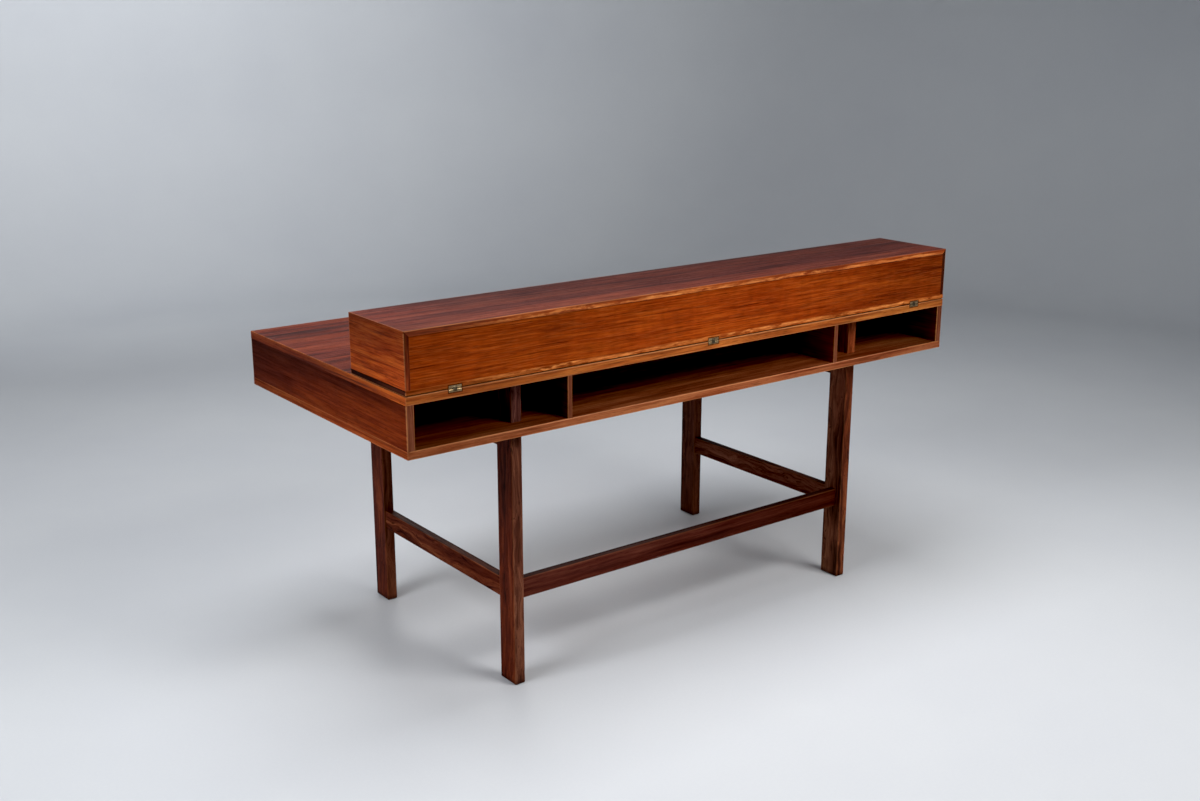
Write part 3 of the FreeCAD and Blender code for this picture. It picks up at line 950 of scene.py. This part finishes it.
def drawer_wood(node, order, number):
    """Pale, unvarnished drawer wood with open pores."""
    graph = Graph("drawer_wood_" + node)
    straight = grain_place(graph, order, number)
    grain = swayed(graph, straight, DRAWER_SWAY, DRAWER_CURL)
    bands = graph.noise(grain, DRAWER_BANDS)
    streaks = graph.noise(grain, DRAWER_STREAKS)
    pores = graph.ease(graph.noise(grain, DRAWER_PORES), *DRAWER_PORE_RANGE)
    shown = graph.times(bands, DRAWER_BAND_SHARE)
    shown = graph.calc("MULTIPLY_ADD", streaks, DRAWER_STREAK_SHARE, shown)
    colour = graph.ramp(shown, DRAWER_STOPS)
    colour = graph.mix(graph.times(pores, DRAWER_PORE_STRENGTH), colour, DRAWER_PORE)
    height = graph.times(streaks, DRAWER_STREAK_HEIGHT)
    height = graph.calc("MULTIPLY_ADD", pores, PORE_HEIGHT, height)
    return graph.finish(
        Base_Color=colour,
        Roughness=graph.span(streaks, *NOISE_RANGE, *DRAWER_ROUGHNESS),
        Specular_IOR_Level=0.30,
        Normal=graph.bump(height, strength=0.30, depth=0.0004),
    )


# Metal of the hinges and screws
BRUSH_LINES = Noise((120.0, 2600.0, 2600.0))
BRUSH_SHARE = 0.35
DULL_PATCHES = Noise((90.0, 90.0, 90.0), 3.0, 0.6)
DULL_SHARE = 0.65
METAL_DARK = 0.35
METAL_LIGHT = 0.62


def metal(name, dark, light, rough, spread):
    """Brushed metal with dull patches: brush lines run along X."""
    graph = Graph(name)
    lines = graph.noise(graph.place(), BRUSH_LINES)
    patches = graph.noise(graph.place(), DULL_PATCHES)
    blend = graph.calc("MULTIPLY_ADD", lines, BRUSH_SHARE, graph.times(patches, DULL_SHARE))
    return graph.finish(
        Base_Color=graph.ramp(blend, ((METAL_DARK, dark), (METAL_LIGHT, light))),
        Metallic=1.0,
        Roughness=graph.span(blend, *NOISE_RANGE, rough + spread, rough - spread),
        Normal=graph.bump(lines, strength=0.12, depth=0.0001),
    )


def dress(node, material):
    """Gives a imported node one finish."""
    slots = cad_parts[node].data.materials
    slots.clear()
    slots.append(material)


def dress_wood():
    for number, (node, board) in enumerate(boards().items()):
        dress(node, rosewood(node, board, number))
    for number, (node, order) in enumerate(drawer_boards().items()):
        dress(node, drawer_wood(node, order, number))


def dress_metal():
    """Gives the metal nodes their finishes, and returns the brass for the hinge screws."""
    brass = metal("brass", dark=(0.22, 0.145, 0.07), light=(0.60, 0.43, 0.23), rough=0.36, spread=0.08)
    steel = metal("steel", dark=(0.32, 0.32, 0.33), light=(0.58, 0.58, 0.59), rough=0.34, spread=0.08)
    dark_steel = metal(
        "dark_steel", dark=(0.066, 0.048, 0.028), light=(0.200, 0.150, 0.092), rough=0.42, spread=0.10)
    for node in ("hinge_leaves_lower", "hinge_leaves_upper"):
        dress(node, brass)
    for node in ("hinge_pins_lower", "hinge_pins_upper", "frame_screws"):
        dress(node, steel)
    dress("hinge_links", dark_steel)
    return brass


def half_head(mesh, side, turn):
    """One half of a slotted head, beside the slot, as three rings that close in a shallow dome."""
    rings = [(SCREW_FLOOR, SCREW_RADIUS)]
    for rise, width in SCREW_DOME:
        rings.append((SCREW_RISE * rise, SCREW_RADIUS * width))
    made = []
    for height, radius in rings:
        start = math.asin(SCREW_SLOT / 2 / radius)
        step = (math.pi - 2 * start) / (SCREW_STEPS - 1)
        ring = []
        for number in range(SCREW_STEPS):
            angle = start + number * step
            spot = Vector((radius * math.cos(angle), side * radius * math.sin(angle), height))
            ring.append(mesh.verts.new(turn @ spot))
        made.append(ring)
    for lower, upper in zip(made, made[1:]):
        for number in range(SCREW_STEPS):
            following = (number + 1) % SCREW_STEPS
            mesh.faces.new((lower[number], lower[following], upper[following], upper[number]))
    mesh.faces.new(made[0])
    mesh.faces.new(made[-1])


def screw_head(mesh, place, down, slot_turn):
    """A slotted head on a hinge leaf: a thin disc in the leaf and two half heads on it."""
    turn = Matrix.Translation(place)
    if down:
        turn = turn @ Matrix.Rotation(math.pi, 4, "X")
    turn = turn @ Matrix.Rotation(slot_turn, 4, "Z")
    lift = Matrix.Translation((0.0, 0.0, (SCREW_FLOOR - SCREW_SINK) / 2))
    bmesh.ops.create_cone(
        mesh,
        cap_ends=True,
        segments=2 * SCREW_STEPS,
        radius1=SCREW_RADIUS,
        radius2=SCREW_RADIUS,
        depth=SCREW_FLOOR + SCREW_SINK,
        matrix=turn @ lift,
    )
    for side in (1, -1):
        half_head(mesh, side, turn)


def made_object(name, mesh, finish):
    """A new object of one finish, from a mesh under construction."""
    data = bpy.data.meshes.new(name)
    mesh.to_mesh(data)
    mesh.free()
    data.materials.append(finish)
    piece = bpy.data.objects.new(name, data)
    bpy.context.scene.collection.objects.link(piece)
    return piece


def hinge_screws(name, leaves, body, down, finish):
    """Two screws in each hinge leaf, on the face that shows when the flip-top is open."""
    low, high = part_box(leaves)
    surface = low.z if down else high.z
    mesh = bmesh.new()
    turns = iter(SLOT_TURNS)
    for centre in hinge_centres():
        for margin in SCREW_MARGINS:
            screw_head(mesh, (centre, HINGE_REAR - margin, surface), down, next(turns))
    bmesh.ops.recalc_face_normals(mesh, faces=mesh.faces)
    piece = made_object(name, mesh, finish)
    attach(piece, body)


# Cove paint, softboxes and air of the studio
COVE_CLOUDS = Noise((0.9, 0.9, 0.9), 4.0, 0.6)
COVE_CLOUD_SHARE = 0.8
COVE_GRIT = Noise((140.0, 140.0, 140.0))
COVE_GRIT_SHARE = 0.2
COVE_STOPS = ((0.35, (0.58, 0.60, 0.63)), (0.65, (0.62, 0.64, 0.66)))
COVE_ROUGHNESS = (0.62, 0.54)
WARM = (1.0, 0.98, 0.96)
COOL = (0.97, 0.98, 1.0)
COLD = (0.95, 0.97, 1.0)
SOFTBOXES = {
    "key": Softbox(
        place=(-0.8, 2.5, 2.6), aim=(-0.1, 0.3, 0.4), width=1.6, height=1.2,
        power=41.0, spread=130.0, colour=WARM),
    "fill": Softbox(
        place=(3.3, 0.4, 2.6), aim=(0.2, 0.1, 0.5), width=1.4, height=1.4,
        power=47.0, spread=150.0, colour=COOL),
    "overhead": Softbox(
        place=(0.2, -0.2, 3.6), aim=(0.2, -0.2, 0.0), width=2.4, height=1.6,
        power=55.0, spread=150.0, colour=COOL),
    "wall_wash": Softbox(
        place=(0.2, -1.8, 2.5), aim=(-0.3, -5.1, 2.4), width=1.6, height=1.2,
        power=44.0, spread=120.0, colour=COLD),
    "reverse": Softbox(
        place=(-1.5, -3.0, 0.46), aim=(-0.2, -0.3, 1.46), width=1.8, height=0.4,
        power=20.0, spread=60.0, colour=WARM),
}
AIR_COLOUR = (0.80, 0.88, 1.0, 1.0)
AIR_STRENGTH = 0.050
BLACK_LEVEL = 0.004


def cove_finish():
    """Pale matt paint with a faint unevenness."""
    graph = Graph("cove_paint")
    clouds = graph.noise(graph.place(), COVE_CLOUDS)
    grit = graph.noise(graph.place(), COVE_GRIT)
    blend = graph.calc("MULTIPLY_ADD", grit, COVE_GRIT_SHARE, graph.times(clouds, COVE_CLOUD_SHARE))
    return graph.finish(
        Base_Color=graph.ramp(blend, COVE_STOPS),
        Roughness=graph.span(clouds, *NOISE_RANGE, *COVE_ROUGHNESS),
        Specular_IOR_Level=0.30,
        Normal=graph.bump(grit, strength=0.05, depth=0.0005),
    )


def cove_profile():
    """Distance from the middle and height of the cove's rings, from its floor up the sweep to its rim."""
    profile = [(COVE_RADIUS - COVE_SWEEP, 0.0)]
    for step in range(1, COVE_STEPS + 1):
        angle = math.pi / 2 * step / COVE_STEPS
        out = COVE_RADIUS - COVE_SWEEP + COVE_SWEEP * math.sin(angle)
        profile.append((out, COVE_SWEEP - COVE_SWEEP * math.cos(angle)))
    profile.append((COVE_RADIUS, COVE_HEIGHT))
    return profile


def cove():
    """The studio: a round floor that sweeps up into a wall."""
    mesh = bmesh.new()
    rings = []
    for out, height in cove_profile():
        ring = []
        for number in range(COVE_TURNS):
            angle = 2 * math.pi * number / COVE_TURNS
            ring.append(mesh.verts.new((out * math.cos(angle), out * math.sin(angle), height)))
        rings.append(ring)
    mesh.faces.new(rings[0])
    for lower, upper in zip(rings, rings[1:]):
        for number in range(COVE_TURNS):
            following = (number + 1) % COVE_TURNS
            mesh.faces.new((lower[number], upper[number], upper[following], lower[following]))
    for face in mesh.faces:
        face.smooth = True
    made_object("studio_cove", mesh, cove_finish())


def soft_light(name, box):
    data = bpy.data.lights.new(name, "AREA")
    data.shape = "RECTANGLE"
    data.size = box.width
    data.size_y = box.height
    data.energy = box.power
    data.spread = math.radians(box.spread)
    data.color = box.colour
    lamp = bpy.data.objects.new(name, data)
    lamp.location = box.place
    lamp.rotation_mode = "QUATERNION"
    lamp.rotation_quaternion = (Vector(box.aim) - Vector(box.place)).to_track_quat("-Z", "Y")
    lamp.visible_camera = False
    bpy.context.scene.collection.objects.link(lamp)


def studio():
    """Cove, softboxes and a faint sky."""
    cove()
    for name, box in SOFTBOXES.items():
        soft_light(name, box)
    world = bpy.data.worlds.new("studio_air")
    world.use_nodes = True
    air = world.node_tree.nodes["Background"]
    air.inputs["Color"].default_value = AIR_COLOUR
    air.inputs["Strength"].default_value = AIR_STRENGTH
    bpy.context.scene.world = world


def grade():
    """Plain view with a little more contrast in the shadows, as the photograph has."""
    settings = bpy.context.scene.view_settings
    settings.view_transform = "Standard"
    settings.use_curve_mapping = True
    settings.curve_mapping.black_level = grey(BLACK_LEVEL)
    settings.curve_mapping.update()


def camera():
    data = bpy.data.cameras.new("camera")
    data.sensor_fit = "HORIZONTAL"
    data.sensor_width = SENSOR
    data.lens = LENS
    eye = bpy.data.objects.new("camera", data)
    turn = Matrix.Rotation(math.radians(CAMERA_TURN), 4, "Z")
    tilt = Matrix.Rotation(math.radians(CAMERA_TILT), 4, "X")
    roll = Matrix.Rotation(math.radians(CAMERA_ROLL), 4, "Z")
    eye.matrix_world = Matrix.Translation(CAMERA_PLACE) @ turn @ tilt @ roll
    bpy.context.scene.collection.objects.link(eye)
    bpy.context.scene.camera = eye


dress_wood()
brass = dress_metal()
hinge_screws("hinge_screws_lower", "hinge_leaves_lower", "base", False, brass)
hinge_screws("hinge_screws_upper", "hinge_leaves_upper", "flip_top", True, brass)
studio()
grade()
camera()
